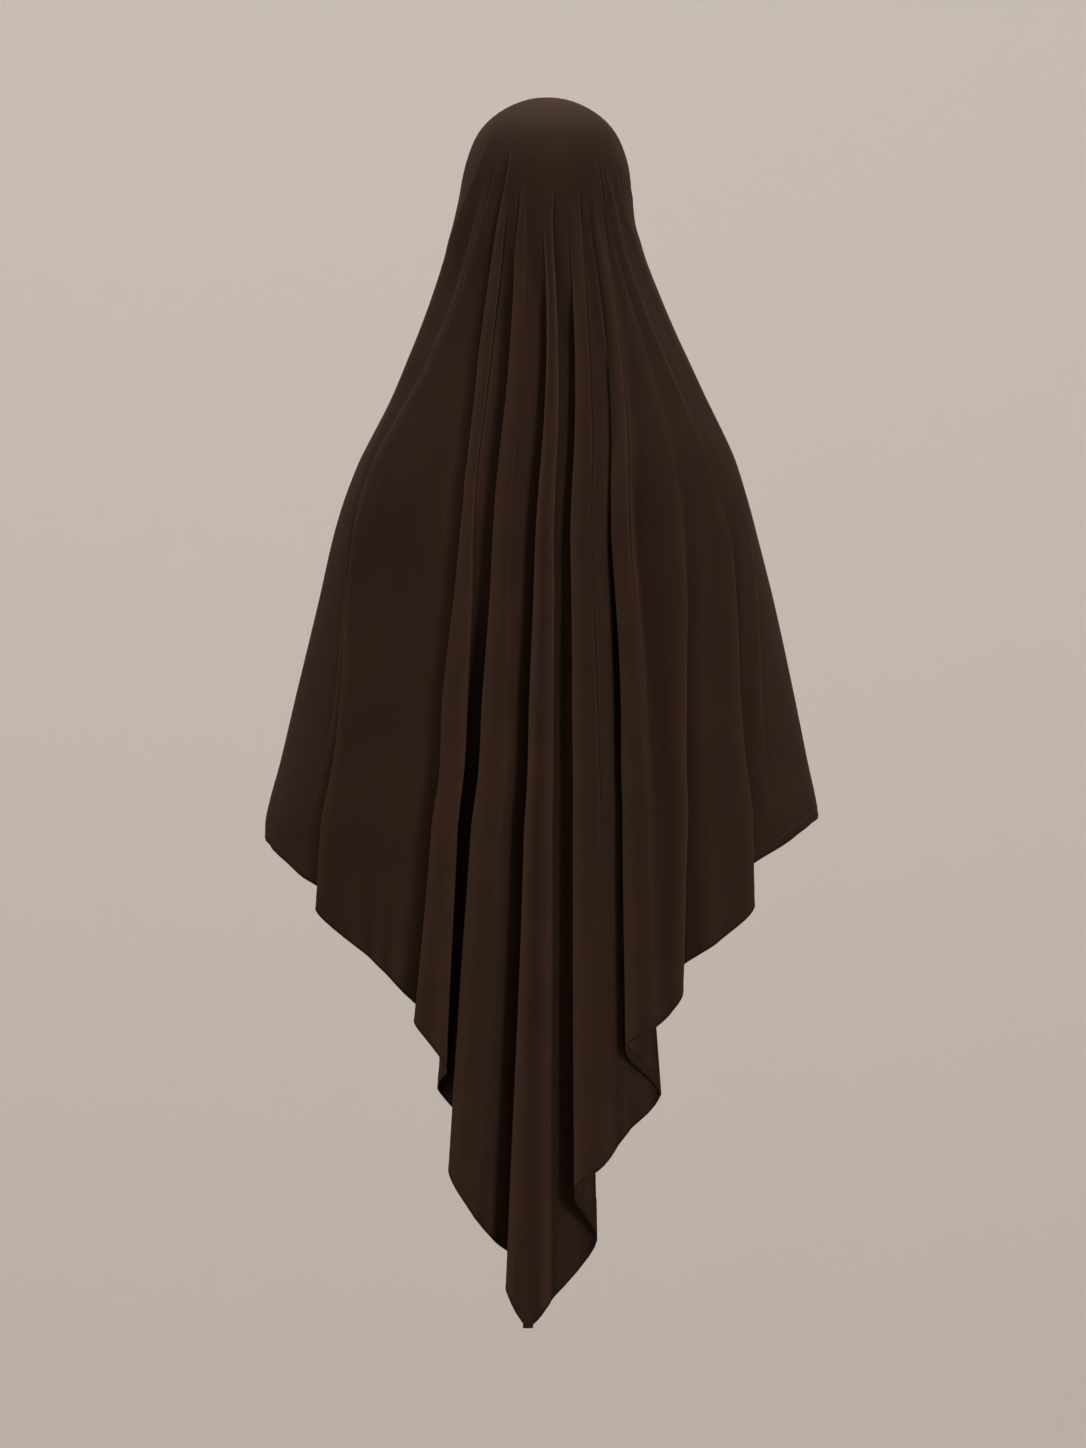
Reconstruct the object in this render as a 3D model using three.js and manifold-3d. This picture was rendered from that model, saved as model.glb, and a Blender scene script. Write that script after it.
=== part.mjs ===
// Khimar veil: one long pointed veil of crepe, in the form it takes over a head and shoulders.
// Millimetres, +Z up. The origin is where the crown of the head meets the inside of the cloth.
// The wearer faces +Y, so the long point hangs on the -Y side and +X is the wearer's right.
import * as THREE from "three";
import Module from "manifold-3d";

// Cloth
const clothWall = 1.2; // the veil's own wall
const layerGap = 0.3; // air between the veil and its turned hem
const hemWall = 1.0; // the turned layer of a hem
const bottomHemDepth = 10; // how far the lower edge is turned up
const faceHemDepth = 8; // how far the face edge is turned back
const nubWidth = 12; // the square nub where both hems cross at the point
const nubDrop = 4;

// Lengths from the crown down to each level
const domeHeight = 82; // crown to the widest ring of the head's dome
const napeDrop = 116; // to the nape, where the cloth leaves the head
const shoulderDrop = 402; // to the outer edge of the shoulders
const cornerDrop = 728; // to the side corners of the hem, over the arms
const pointDrop = 1212; // to the point of the back
const frontDrop = 752; // to the middle of the front hem

// Widths over the cloth, and its reach behind and before the axis of the head
const domeSpan = 164;
const domeBack = 103;
const domeFront = 93;
const napeSpan = 176;
const napeBack = 107;
const napeFront = 96;
const shoulderSpan = 404;
const shoulderBack = 146;
const shoulderFront = 134;
const cornerSpan = 554;
const cornerBack = 152;
const cornerFront = 150;
const pointBack = 156;
const headTurn = 3; // how far the turned head carries the nape to the left
const cornerLean = 5; // how far the lower edge leans to the left
const foldDepth = 44; // the deepest fold, at the hem

// Face opening: an egg, widest at the cheekbones
const faceWidth = 124;
const browRise = 70; // from the widest level up to the brow
const chinFall = 100; // from the widest level down to the chin
const cheekDrop = 134; // crown to the widest level

// Fineness of the faceted form
const stepsPerFold = 2; // columns between one crease and the next
const domeRows = 5;
const hangRows = 16;
const rowCrowding = 1.3; // above 1, rows crowd towards the head
const faceSteps = 18; // along each half of the face opening
const sharpestMitre = 0.6; // a fold's edge moves in by the wall over this at most

// A table row as an object with the named columns.
const named = (columns, rows) =>
  rows.map((row) => Object.fromEntries(columns.split(" ").map((name, i) => [name, row[i]])));

// Levels of the form, each a horizontal section through the veil.
const levels = [
  { drop: domeHeight, span: domeSpan, back: domeBack, front: domeFront, shift: 0 },
  { drop: napeDrop, span: napeSpan, back: napeBack, front: napeFront, shift: -headTurn },
  { drop: shoulderDrop, span: shoulderSpan, back: shoulderBack, front: shoulderFront, shift: 0 },
  { drop: cornerDrop, span: cornerSpan, back: cornerBack, front: cornerFront, shift: -cornerLean },
  { drop: pointDrop, span: cornerSpan, back: pointBack, front: cornerFront, shift: -cornerLean },
];

// Sections between two levels: shares of the way from one level's size to the next one's.
const between = named("level along span back front shift", [
  [1, 0.08, 0.06, 0.07, -0.05, 0.1],
  [1, 0.16, 0.11, 0.15, -0.12, 0.4],
  [1, 0.3, 0.23, 0.29, -0.24, 1.0],
  [1, 0.42, 0.35, 0.42, -0.2, 1.3],
  [1, 0.51, 0.45, 0.52, 0.0, 1.5],
  [1, 0.65, 0.61, 0.67, 0.32, 1.7],
  [1, 0.79, 0.79, 0.82, 0.64, 1.6],
  [1, 0.87, 0.885, 0.9, 0.82, 1.4],
  [2, 0.12, 0.165, 0.2, 0.3, -0.15],
  [2, 0.31, 0.36, 0.42, 0.55, -0.2],
  [2, 0.61, 0.645, 0.72, 0.8, 0.3],
  [2, 0.8, 0.815, 0.85, 0.9, 0.65],
  [2, 0.93, 0.93, 0.95, 0.97, 0.95],
]);

// Creases of the folds round the back, from the wearer's left side to the right.
// head to hem: where the crease lies across, as a share of half the section's span.
// ends: where it meets the hem, as a share of the way from the side corners to the point.
// The lifts are shares of foldDepth, out from the section or, below 0, into it.
const creaseColumns = "name head neck shoulder waist hem ends neckLift shoulderLift waistLift hemLift";
const backCreases = named(creaseColumns, [
  ["left side", -1, -1, -1, -1, -1, 0.025, 0, 0, 0, 0],
  ["left roll", -0.82, -0.965, -0.935, -0.836, -0.85, 0.1, 0.08, 0, 0.02, 0],
  ["left roll valley", -0.73, -0.87, -0.917, -0.8, -0.78, 0.14, -0.08, -0.05, -0.14, -0.26],
  ["left panel edge", -0.64, -0.78, -0.893, -0.803, -0.81, 0.165, 0.11, 0.04, 0.06, 0.07],
  ["left panel", -0.56, -0.666, -0.656, -0.567, -0.6, 0.265, 0, 0, 0, 0],
  ["left panel turn", -0.5, -0.596, -0.495, -0.456, -0.495, 0.33, -0.06, -0.06, -0.09, -0.11],
  ["left panel valley", -0.46, -0.544, -0.383, -0.377, -0.435, 0.37, -0.13, -0.2, -0.27, -0.23],
  ["narrow fold edge", -0.435, -0.527, -0.407, -0.396, -0.462, 0.39, 0.02, 0.02, 0.05, 0.07],
  ["narrow fold back edge", -0.4, -0.423, -0.354, -0.314, -0.356, 0.48, -0.02, 0, 0, 0],
  ["left channel inner", -0.38, -0.388, -0.335, -0.335, -0.42, 0.53, -0.11, -0.32, -0.68, -1],
  ["left channel outer", -0.36, -0.311, -0.228, -0.2, -0.28, 0.62, -0.18, -0.41, -0.73, -0.95],
  ["left fold edge", -0.335, -0.293, -0.252, -0.243, -0.342, 0.693, 0.02, 0.02, 0.05, 0.07],
  ["left fold", -0.25, -0.2, -0.174, -0.153, -0.24, 0.78, 0.02, 0, 0, 0],
  ["left fold turn", -0.165, -0.095, -0.107, -0.098, -0.162, 0.828, -0.07, -0.14, -0.2, -0.27],
  ["left fold valley", -0.11, -0.018, -0.025, -0.028, -0.091, 0.876, -0.11, -0.27, -0.45, -0.6],
  ["point fold edge", -0.03, 0.0, -0.044, -0.055, -0.13, 0.929, 0.02, 0.02, 0.05, 0.07],
  ["point", 0.025, 0.034, -0.005, -0.012, -0.049, 1, 0, 0, 0.01, 0.02],
  ["point fold back edge", 0.075, 0.077, 0.028, 0.031, 0.028, 0.959, 0.02, 0, 0, 0],
  ["middle channel inner", 0.16, 0.163, 0.091, 0.094, 0.158, 0.873, -0.09, -0.3, -0.5, -0.82],
  ["middle channel outer", 0.235, 0.214, 0.144, 0.156, 0.204, 0.833, -0.14, -0.41, -0.68, -1],
  ["middle fold edge", 0.285, 0.223, 0.111, 0.11, 0.113, 0.732, 0.02, 0.02, 0.05, 0.07],
  ["middle fold", 0.36, 0.309, 0.202, 0.2, 0.218, 0.672, 0.05, 0.02, 0.02, 0.02],
  ["middle fold turn", 0.435, 0.387, 0.246, 0.235, 0.303, 0.608, -0.02, -0.07, -0.14, -0.27],
  ["right channel", 0.508, 0.456, 0.343, 0.33, 0.442, 0.536, -0.07, -0.27, -0.5, -0.77],
  ["right fold edge", 0.535, 0.482, 0.309, 0.282, 0.31, 0.438, 0, 0.02, 0.05, 0.07],
  ["right fold crest", 0.585, 0.534, 0.377, 0.369, 0.388, 0.402, 0.07, 0.07, 0.07, 0.07],
  ["right fold hollow", 0.633, 0.63, 0.45, 0.444, 0.448, 0.375, -0.05, -0.02, -0.02, -0.02],
  ["right fold back edge", 0.65, 0.691, 0.646, 0.566, 0.508, 0.331, 0, 0.02, 0.05, 0.05],
  ["right panel valley", 0.665, 0.718, 0.675, 0.568, 0.494, 0.292, -0.05, -0.03, -0.1, -0.22],
  ["right panel", 0.69, 0.744, 0.76, 0.662, 0.623, 0.229, 0, 0, 0, 0],
  ["right panel edge", 0.72, 0.779, 0.865, 0.783, 0.76, 0.157, 0.11, 0.02, 0.05, 0.07],
  ["right roll valley", 0.765, 0.85, 0.896, 0.77, 0.722, 0.106, -0.09, -0.05, -0.18, -0.3],
  ["right roll turn", 0.81, 0.895, 0.932, 0.815, 0.76, 0.072, -0.02, 0, -0.07, -0.09],
  ["right roll", 0.88, 0.95, 0.964, 0.869, 0.862, 0.036, 0.09, 0.02, 0.02, 0],
  ["right side", 1, 1, 1, 1, 1, -0.023, 0, 0, 0, 0],
]);

// Creases round the front, from the right side back to the left, under the face opening.
// Their ends are shares of the way from the side corners to the middle of the front hem.
const frontCreases = named(creaseColumns, [
  ["right arm", 0.96, 0.96, 0.955, 0.95, 0.945, -0.45, 0, 0, 0, 0],
  ["right breast fold", 0.84, 0.85, 0.8, 0.8, 0.79, -0.25, 0, 0.03, 0.08, 0.12],
  ["right breast valley", 0.72, 0.74, 0.66, 0.67, 0.67, 0, 0, -0.06, -0.16, -0.22],
  ["right front fold", 0.58, 0.6, 0.5, 0.52, 0.53, 0.35, 0, 0.04, 0.1, 0.14],
  ["right front valley", 0.43, 0.46, 0.36, 0.37, 0.37, 0.6, -0.02, -0.12, -0.28, -0.38],
  ["chin fold right", 0.28, 0.3, 0.22, 0.22, 0.22, 0.85, 0.02, 0.05, 0.1, 0.14],
  ["chin valley right", 0.1, 0.12, 0.08, 0.08, 0.07, 0.95, -0.02, -0.1, -0.26, -0.36],
  ["chin fold middle", -0.06, -0.05, -0.07, -0.09, -0.1, 1, 0.02, 0.05, 0.12, 0.16],
  ["chin valley left", -0.24, -0.22, -0.22, -0.24, -0.25, 0.9, -0.02, -0.12, -0.3, -0.4],
  ["chin fold left", -0.4, -0.4, -0.36, -0.38, -0.4, 0.75, 0.02, 0.05, 0.1, 0.14],
  ["left front valley", -0.57, -0.58, -0.52, -0.54, -0.55, 0.6, 0, -0.08, -0.2, -0.28],
  ["left front fold", -0.74, -0.75, -0.68, -0.7, -0.71, 0.5, 0, 0.03, 0.08, 0.12],
  ["left breast valley", -0.88, -0.89, -0.84, -0.85, -0.85, 0.4, 0, -0.03, -0.08, -0.12],
  ["left arm", -0.97, -0.97, -0.96, -0.96, -0.955, 0.45, 0, 0, 0, 0],
]);

const mix = (a, b, share) => a + (b - a) * share;

// A smooth value at x through knots [x, value], level beyond the first and the last.
function through(knots, x) {
  const last = knots.length - 1;
  if (x <= knots[0][0]) return knots[0][1];
  if (x >= knots[last][0]) return knots[last][1];
  const i = knots.findIndex((knot) => knot[0] > x) - 1;
  const slope = (a, b) => (knots[b][1] - knots[a][1]) / (knots[b][0] - knots[a][0]);
  const slopeAt = (k) => (k === 0 || k === last ? 0 : slope(k - 1, k + 1));
  const width = knots[i + 1][0] - knots[i][0];
  const t = (x - knots[i][0]) / width;
  const startSlope = i === 0 ? slope(0, 1) : slopeAt(i);
  const endSlope = i + 1 === last ? slope(last - 1, last) : slopeAt(i + 1);
  return (
    (1 + 2 * t) * (1 - t) ** 2 * knots[i][1] +
    t * (1 - t) ** 2 * width * startSlope +
    t * t * (3 - 2 * t) * knots[i + 1][1] +
    t * t * (t - 1) * width * endSlope
  );
}

// One size of the sections as knots down the veil.
function sectionKnots(size) {
  const knots = levels.map((level) => [level.drop, level[size]]);
  for (const row of between) {
    const [above, below] = [levels[row.level], levels[row.level + 1]];
    knots.push([
      mix(above.drop, below.drop, row.along),
      mix(above[size], below[size], row[size]),
    ]);
  }
  return knots.sort((a, b) => a[0] - b[0]);
}
const spanKnots = sectionKnots("span");
const backKnots = sectionKnots("back");
const frontKnots = sectionKnots("front");
const shiftKnots = sectionKnots("shift");

// The horizontal section at one depth below the crown: half its span, and its reach each way.
function section(drop) {
  const dome = drop < domeHeight ? Math.sqrt(1 - (1 - drop / domeHeight) ** 2) : 1;
  return {
    half: (dome * through(spanKnots, drop)) / 2,
    back: dome * through(backKnots, drop),
    front: dome * through(frontKnots, drop),
    shift: through(shiftKnots, drop),
  };
}

// The depths at which the crease tables say where a crease lies.
const headStation = 0.75 * domeHeight;
const neckStation = mix(napeDrop, shoulderDrop, 0.3);
const waistStation = mix(shoulderDrop, cornerDrop, 0.61);

const creases = [
  ...backCreases.map((row) => ({ ...row, face: -1, hemDrop: mix(cornerDrop, pointDrop, row.ends) })),
  ...frontCreases.map((row) => ({ ...row, face: 1, hemDrop: mix(cornerDrop, frontDrop, row.ends) })),
];
for (const crease of creases) {
  crease.acrossKnots = [
    [headStation, crease.head],
    [neckStation, crease.neck],
    [shoulderDrop, crease.shoulder],
    [waistStation, crease.waist],
    [crease.hemDrop, crease.hem],
  ];
  crease.liftKnots = [
    [headStation, 0],
    [neckStation, crease.neckLift],
    [shoulderDrop, crease.shoulderLift],
    [waistStation, crease.waistLift],
    [crease.hemDrop, crease.hemLift],
  ];
}

// Where a crease crosses the section at one depth.
function creasePoint(crease, drop, ring) {
  const across = through(crease.acrossKnots, drop);
  const reach = crease.face > 0 ? ring.front : ring.back;
  const along = crease.face * Math.sqrt(Math.max(0, 1 - across * across));
  const outward = new THREE.Vector2(across / ring.half, along / reach).normalize();
  const lift = drop > 0 ? foldDepth * through(crease.liftKnots, drop) : 0;
  return new THREE.Vector3(
    ring.shift + ring.half * across + outward.x * lift,
    reach * along + outward.y * lift,
    clothWall - drop,
  );
}

// A point of the veil's outer face. turn runs from 0 to 1 round the veil, crease by crease.
function veilPoint(turn, drop) {
  if (drop <= 0) return new THREE.Vector3(0, 0, clothWall);
  const ring = section(drop);
  const points = creases.map((crease) => creasePoint(crease, drop, ring));
  return new THREE.CatmullRomCurve3(points, true, "centripetal").getPoint(turn);
}

const columnCount = creases.length * stepsPerFold;
const hemCurve = new THREE.CatmullRomCurve3(
  creases.map((crease) => veilPoint(creases.indexOf(crease) / creases.length, crease.hemDrop)),
  true,
  "centripetal",
);

// How far below the crown the hem lies at each column, and how far the turned hem reaches up
// there, measured straight down: a hem that runs on the slant takes more height for its depth.
const hemDrops = [];
for (let column = 0; column < columnCount; column++)
  hemDrops.push(clothWall - hemCurve.getPoint(column / columnCount).z);
const hemRises = hemDrops.map((_, column) => {
  const before = hemCurve.getPoint(((column - 0.5 + columnCount) % columnCount) / columnCount);
  const after = hemCurve.getPoint(((column + 0.5) % columnCount) / columnCount);
  const edge = after.sub(before);
  return bottomHemDepth * Math.min(2, edge.length() / Math.hypot(edge.x, edge.y));
});

// Depths of one column's rows: round the dome, down the fall, then the turned hem's two edges.
function rowDrops(column) {
  const hemTop = hemDrops[column] - hemRises[column];
  const drops = [];
  for (let row = 0; row < domeRows; row++)
    drops.push(domeHeight * (1 - Math.cos((row / domeRows) * (Math.PI / 2))));
  for (let row = 0; row <= hangRows; row++)
    drops.push(mix(domeHeight, hemTop, (row / hangRows) ** rowCrowding));
  drops.push(hemDrops[column]);
  return drops;
}

const grid = hemDrops.map((_, column) =>
  rowDrops(column).map((drop) => veilPoint(column / columnCount, drop)),
);
const rowCount = grid[0].length;

// The way inwards at each point of the grid, square to the cloth. It is longer where the ring
// turns sharply, as a mitre is, so that the wall keeps its thickness round a fold's edge.
const inwards = grid.map((line, column) =>
  line.map((point, row) => {
    if (row === 0) return new THREE.Vector3(0, 0, -1);
    const left = grid[(column - 1 + columnCount) % columnCount];
    const right = grid[(column + 1) % columnCount];
    const down = line[Math.min(row + 1, rowCount - 1)].clone().sub(line[row - 1]).normalize();
    const squareToDown = (step) => step.addScaledVector(down, -step.dot(down)).normalize();
    const arriving = squareToDown(point.clone().sub(left[row]));
    const leaving = squareToDown(right[row].clone().sub(point));
    const round = arriving.add(leaving).normalize();
    const mitre = 1 / Math.max(sharpestMitre, leaving.dot(round));
    return round.cross(down).multiplyScalar(mitre);
  }),
);

// The grid moved inwards by a depth, from one row to the last.
const layer = (depth, firstRow) =>
  grid.map((line, column) =>
    line.slice(firstRow).map((p, i) => p.clone().addScaledVector(inwards[column][firstRow + i], depth)),
  );

// A closed wall between an outer and an inner layer. A capped one starts at a single crown point.
function wallGeometry(outer, inner, capped) {
  const rows = outer[0].length;
  const points = [];
  const triangles = [];
  const indexOf = (side, column, row) => {
    if (capped && row === 0) return side;
    const firstRow = capped ? 1 : 0;
    const caps = capped ? 2 : 0;
    return caps + (((column + columnCount) % columnCount) * (rows - firstRow) + row - firstRow) * 2 + side;
  };
  if (capped) points.push(outer[0][0], inner[0][0]);
  for (let column = 0; column < columnCount; column++)
    for (let row = capped ? 1 : 0; row < rows; row++)
      points.push(outer[column][row], inner[column][row]);
  const quad = (a, b, c, d) => {
    if (a !== b && b !== c && a !== c) triangles.push(a, b, c);
    if (a !== c && c !== d && a !== d) triangles.push(a, c, d);
  };
  for (let column = 0; column < columnCount; column++) {
    for (let row = 0; row < rows - 1; row++) {
      const corner = (side, x, y) => indexOf(side, column + x, row + y);
      quad(corner(0, 0, 0), corner(0, 0, 1), corner(0, 1, 1), corner(0, 1, 0));
      quad(corner(1, 0, 0), corner(1, 1, 0), corner(1, 1, 1), corner(1, 0, 1));
    }
    const rim = (side, x, row) => indexOf(side, column + x, row);
    const last = rows - 1;
    quad(rim(0, 0, last), rim(1, 0, last), rim(1, 1, last), rim(0, 1, last));
    if (!capped) quad(rim(0, 0, 0), rim(0, 1, 0), rim(1, 1, 0), rim(1, 0, 0));
  }
  const positions = new Float32Array(points.flatMap((p) => [p.x, p.y, p.z]));
  return new THREE.BufferGeometry()
    .setAttribute("position", new THREE.BufferAttribute(positions, 3))
    .setIndex(triangles);
}

const wasm = await Module();
wasm.setup();

// A closed geometry as a manifold-3d solid, its corners merged by place, and back again.
function solidFrom(geometry) {
  const { array } = geometry.getAttribute("position");
  const index = geometry.index ? geometry.index.array : [...Array(array.length / 3).keys()];
  const places = new Map();
  const merged = [];
  const indexAt = (i) => {
    const place = [array[3 * i], array[3 * i + 1], array[3 * i + 2]].map((v) => v.toFixed(4)).join();
    if (!places.has(place)) {
      places.set(place, merged.length / 3);
      merged.push(array[3 * i], array[3 * i + 1], array[3 * i + 2]);
    }
    return places.get(place);
  };
  const triVerts = new Uint32Array(Array.from(index, indexAt));
  return new wasm.Manifold(
    new wasm.Mesh({ numProp: 3, vertProperties: new Float32Array(merged), triVerts }),
  );
}

function geometryFrom(solid) {
  const mesh = solid.getMesh();
  const positions = new Float32Array(mesh.numVert * 3);
  for (let i = 0; i < mesh.numVert; i++)
    positions.set(mesh.vertProperties.subarray(i * mesh.numProp, i * mesh.numProp + 3), i * 3);
  return new THREE.BufferGeometry()
    .setAttribute("position", new THREE.BufferAttribute(positions, 3))
    .setIndex(new THREE.BufferAttribute(mesh.triVerts, 1));
}

// The outline of the face opening, seen from in front and grown all round by a margin.
function facePath(margin) {
  const path = new THREE.Shape();
  const half = faceWidth / 2 + margin;
  path.absellipse(0, 0, half, chinFall + margin, 0, Math.PI);
  path.absellipse(0, 0, half, browRise + margin, Math.PI, 2 * Math.PI);
  return path;
}

// A prism of a face outline, running forward from the middle of the head. Shape y is the drop.
function facePrism(shape) {
  const reach = 2 * napeFront;
  const options = { depth: reach, bevelEnabled: false, curveSegments: faceSteps };
  return new THREE.ExtrudeGeometry(shape, options)
    .rotateX(-Math.PI / 2)
    .translate(-headTurn / 2, 0, clothWall - cheekDrop);
}

// Pieces
function veilCloth() {
  const wall = wallGeometry(layer(0, 0), layer(clothWall, 0), true);
  return geometryFrom(solidFrom(wall).subtract(solidFrom(facePrism(facePath(0)))));
}

function faceHem() {
  const depth = clothWall + layerGap;
  const lining = wallGeometry(layer(depth, 0), layer(depth + hemWall, 0), true);
  const ring = facePath(faceHemDepth);
  ring.holes.push(facePath(0));
  return geometryFrom(solidFrom(lining).intersect(solidFrom(facePrism(ring))));
}

function bottomHem() {
  const depth = clothWall + layerGap;
  const firstRow = rowCount - 2;
  const strip = solidFrom(wallGeometry(layer(depth, firstRow), layer(depth + hemWall, firstRow), false));
  const pointColumn = stepsPerFold * creases.findIndex((crease) => crease.name === "point");
  const point = grid[pointColumn][rowCount - 1];
  const block = (near, far, top, bottom) =>
    solidFrom(
      new THREE.BoxGeometry(nubWidth, far - near, top - bottom).translate(
        point.x,
        point.y + (near + far) / 2,
        point.z + (top + bottom) / 2,
      ),
    );
  const fullDepth = depth + hemWall;
  const root = block(depth + layerGap / 2, fullDepth, nubDrop, -nubDrop);
  const nub = block(0, fullDepth, -layerGap - clothWall, -layerGap - nubDrop);
  return geometryFrom(strip.add(root).add(nub));
}

// A named mesh of brown crepe.
function piece(name, geometry) {
  geometry.computeVertexNormals();
  const crepe = new THREE.MeshStandardMaterial({ color: 0x35251e, roughness: 0.85, metalness: 0 });
  const mesh = new THREE.Mesh(geometry, crepe);
  mesh.name = name;
  return mesh;
}

const khimar = new THREE.Group();
khimar.add(piece("veil_cloth", veilCloth()));
khimar.add(piece("bottom_hem", bottomHem()));
khimar.add(piece("face_hem", faceHem()));

export default khimar;
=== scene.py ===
import math

import bmesh
import bpy
import numpy as np
from mathutils import Matrix, Vector


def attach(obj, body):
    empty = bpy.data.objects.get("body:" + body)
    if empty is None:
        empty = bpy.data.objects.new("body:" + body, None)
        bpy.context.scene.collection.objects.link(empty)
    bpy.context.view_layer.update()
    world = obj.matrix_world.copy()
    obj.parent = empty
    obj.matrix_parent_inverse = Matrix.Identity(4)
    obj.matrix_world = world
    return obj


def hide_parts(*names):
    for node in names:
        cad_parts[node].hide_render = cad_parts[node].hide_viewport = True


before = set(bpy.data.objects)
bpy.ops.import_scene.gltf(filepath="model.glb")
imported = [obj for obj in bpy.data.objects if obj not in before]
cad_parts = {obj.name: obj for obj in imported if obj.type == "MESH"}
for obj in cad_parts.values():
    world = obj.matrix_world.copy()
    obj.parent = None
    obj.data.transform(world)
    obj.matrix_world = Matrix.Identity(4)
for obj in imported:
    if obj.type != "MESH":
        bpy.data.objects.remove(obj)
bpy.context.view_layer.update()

mm = 0.001
weldDistance = 1e-7

# What a tailor would change about the veil, in millimetres. Drops are heights below the crown.
veilForm = {
    "wall": 1.2,
    "domeHeight": 82, "napeDrop": 116, "shoulderDrop": 402, "cornerDrop": 728,
    "pointDrop": 1212, "frontDrop": 752,
    "domeSpan": 169, "domeBack": 103, "domeFront": 93,
    "napeSpan": 176, "napeBack": 107, "napeFront": 96,
    "shoulderSpan": 404, "shoulderBack": 146, "shoulderFront": 134,
    "cornerSpan": 554, "cornerBack": 152, "cornerFront": 150, "pointBack": 156,
    "headTurn": 3, "cornerLean": 5,
    "foldDepth": 44, "foldGrowth": 80,  # a fold is at full depth this far below its start
}

# Where the creases' places are given, beside the shoulders and the hem: the head as a share of the
# dome's height, the neck from the nape to the shoulders, waist and hip from there to the corners
creaseLevels = {"head": 0.75, "neck": 0.3, "waist": 0.61, "hip": 0.88}

# The dome meets the fall without a corner: there each ring is a mean of rings up to reach away.
# The reach grows in between two drops and fades out between two others, in mm.
domeBlend = {"reach": 22, "growsIn": (14, 60), "fadesOut": (110, 170), "steps": (-1, -0.4, 0.4, 1)}

# Sections between two levels, as shares of the way from one level's size to the next one's:
# level above, along, span, back, front, shift
sectionsBetween = [
    (1, 0.08, 0.06, 0.07, -0.05, 0.1),
    (1, 0.16, 0.11, 0.15, -0.12, 0.4),
    (1, 0.3, 0.23, 0.29, -0.24, 1.0),
    (1, 0.42, 0.35, 0.42, -0.2, 1.3),
    (1, 0.51, 0.45, 0.52, 0.0, 1.5),
    (1, 0.65, 0.61, 0.67, 0.32, 1.7),
    (1, 0.79, 0.79, 0.82, 0.64, 1.6),
    (1, 0.87, 0.885, 0.9, 0.82, 1.4),
    (2, 0.12, 0.145, 0.2, 0.3, 0.15),
    (2, 0.31, 0.34, 0.42, 0.55, 0.1),
    (2, 0.61, 0.637, 0.72, 0.8, 0.45),
    (2, 0.8, 0.82, 0.85, 0.9, 0.65),
    (2, 0.93, 0.96, 0.95, 0.97, 0.85),
]

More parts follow.
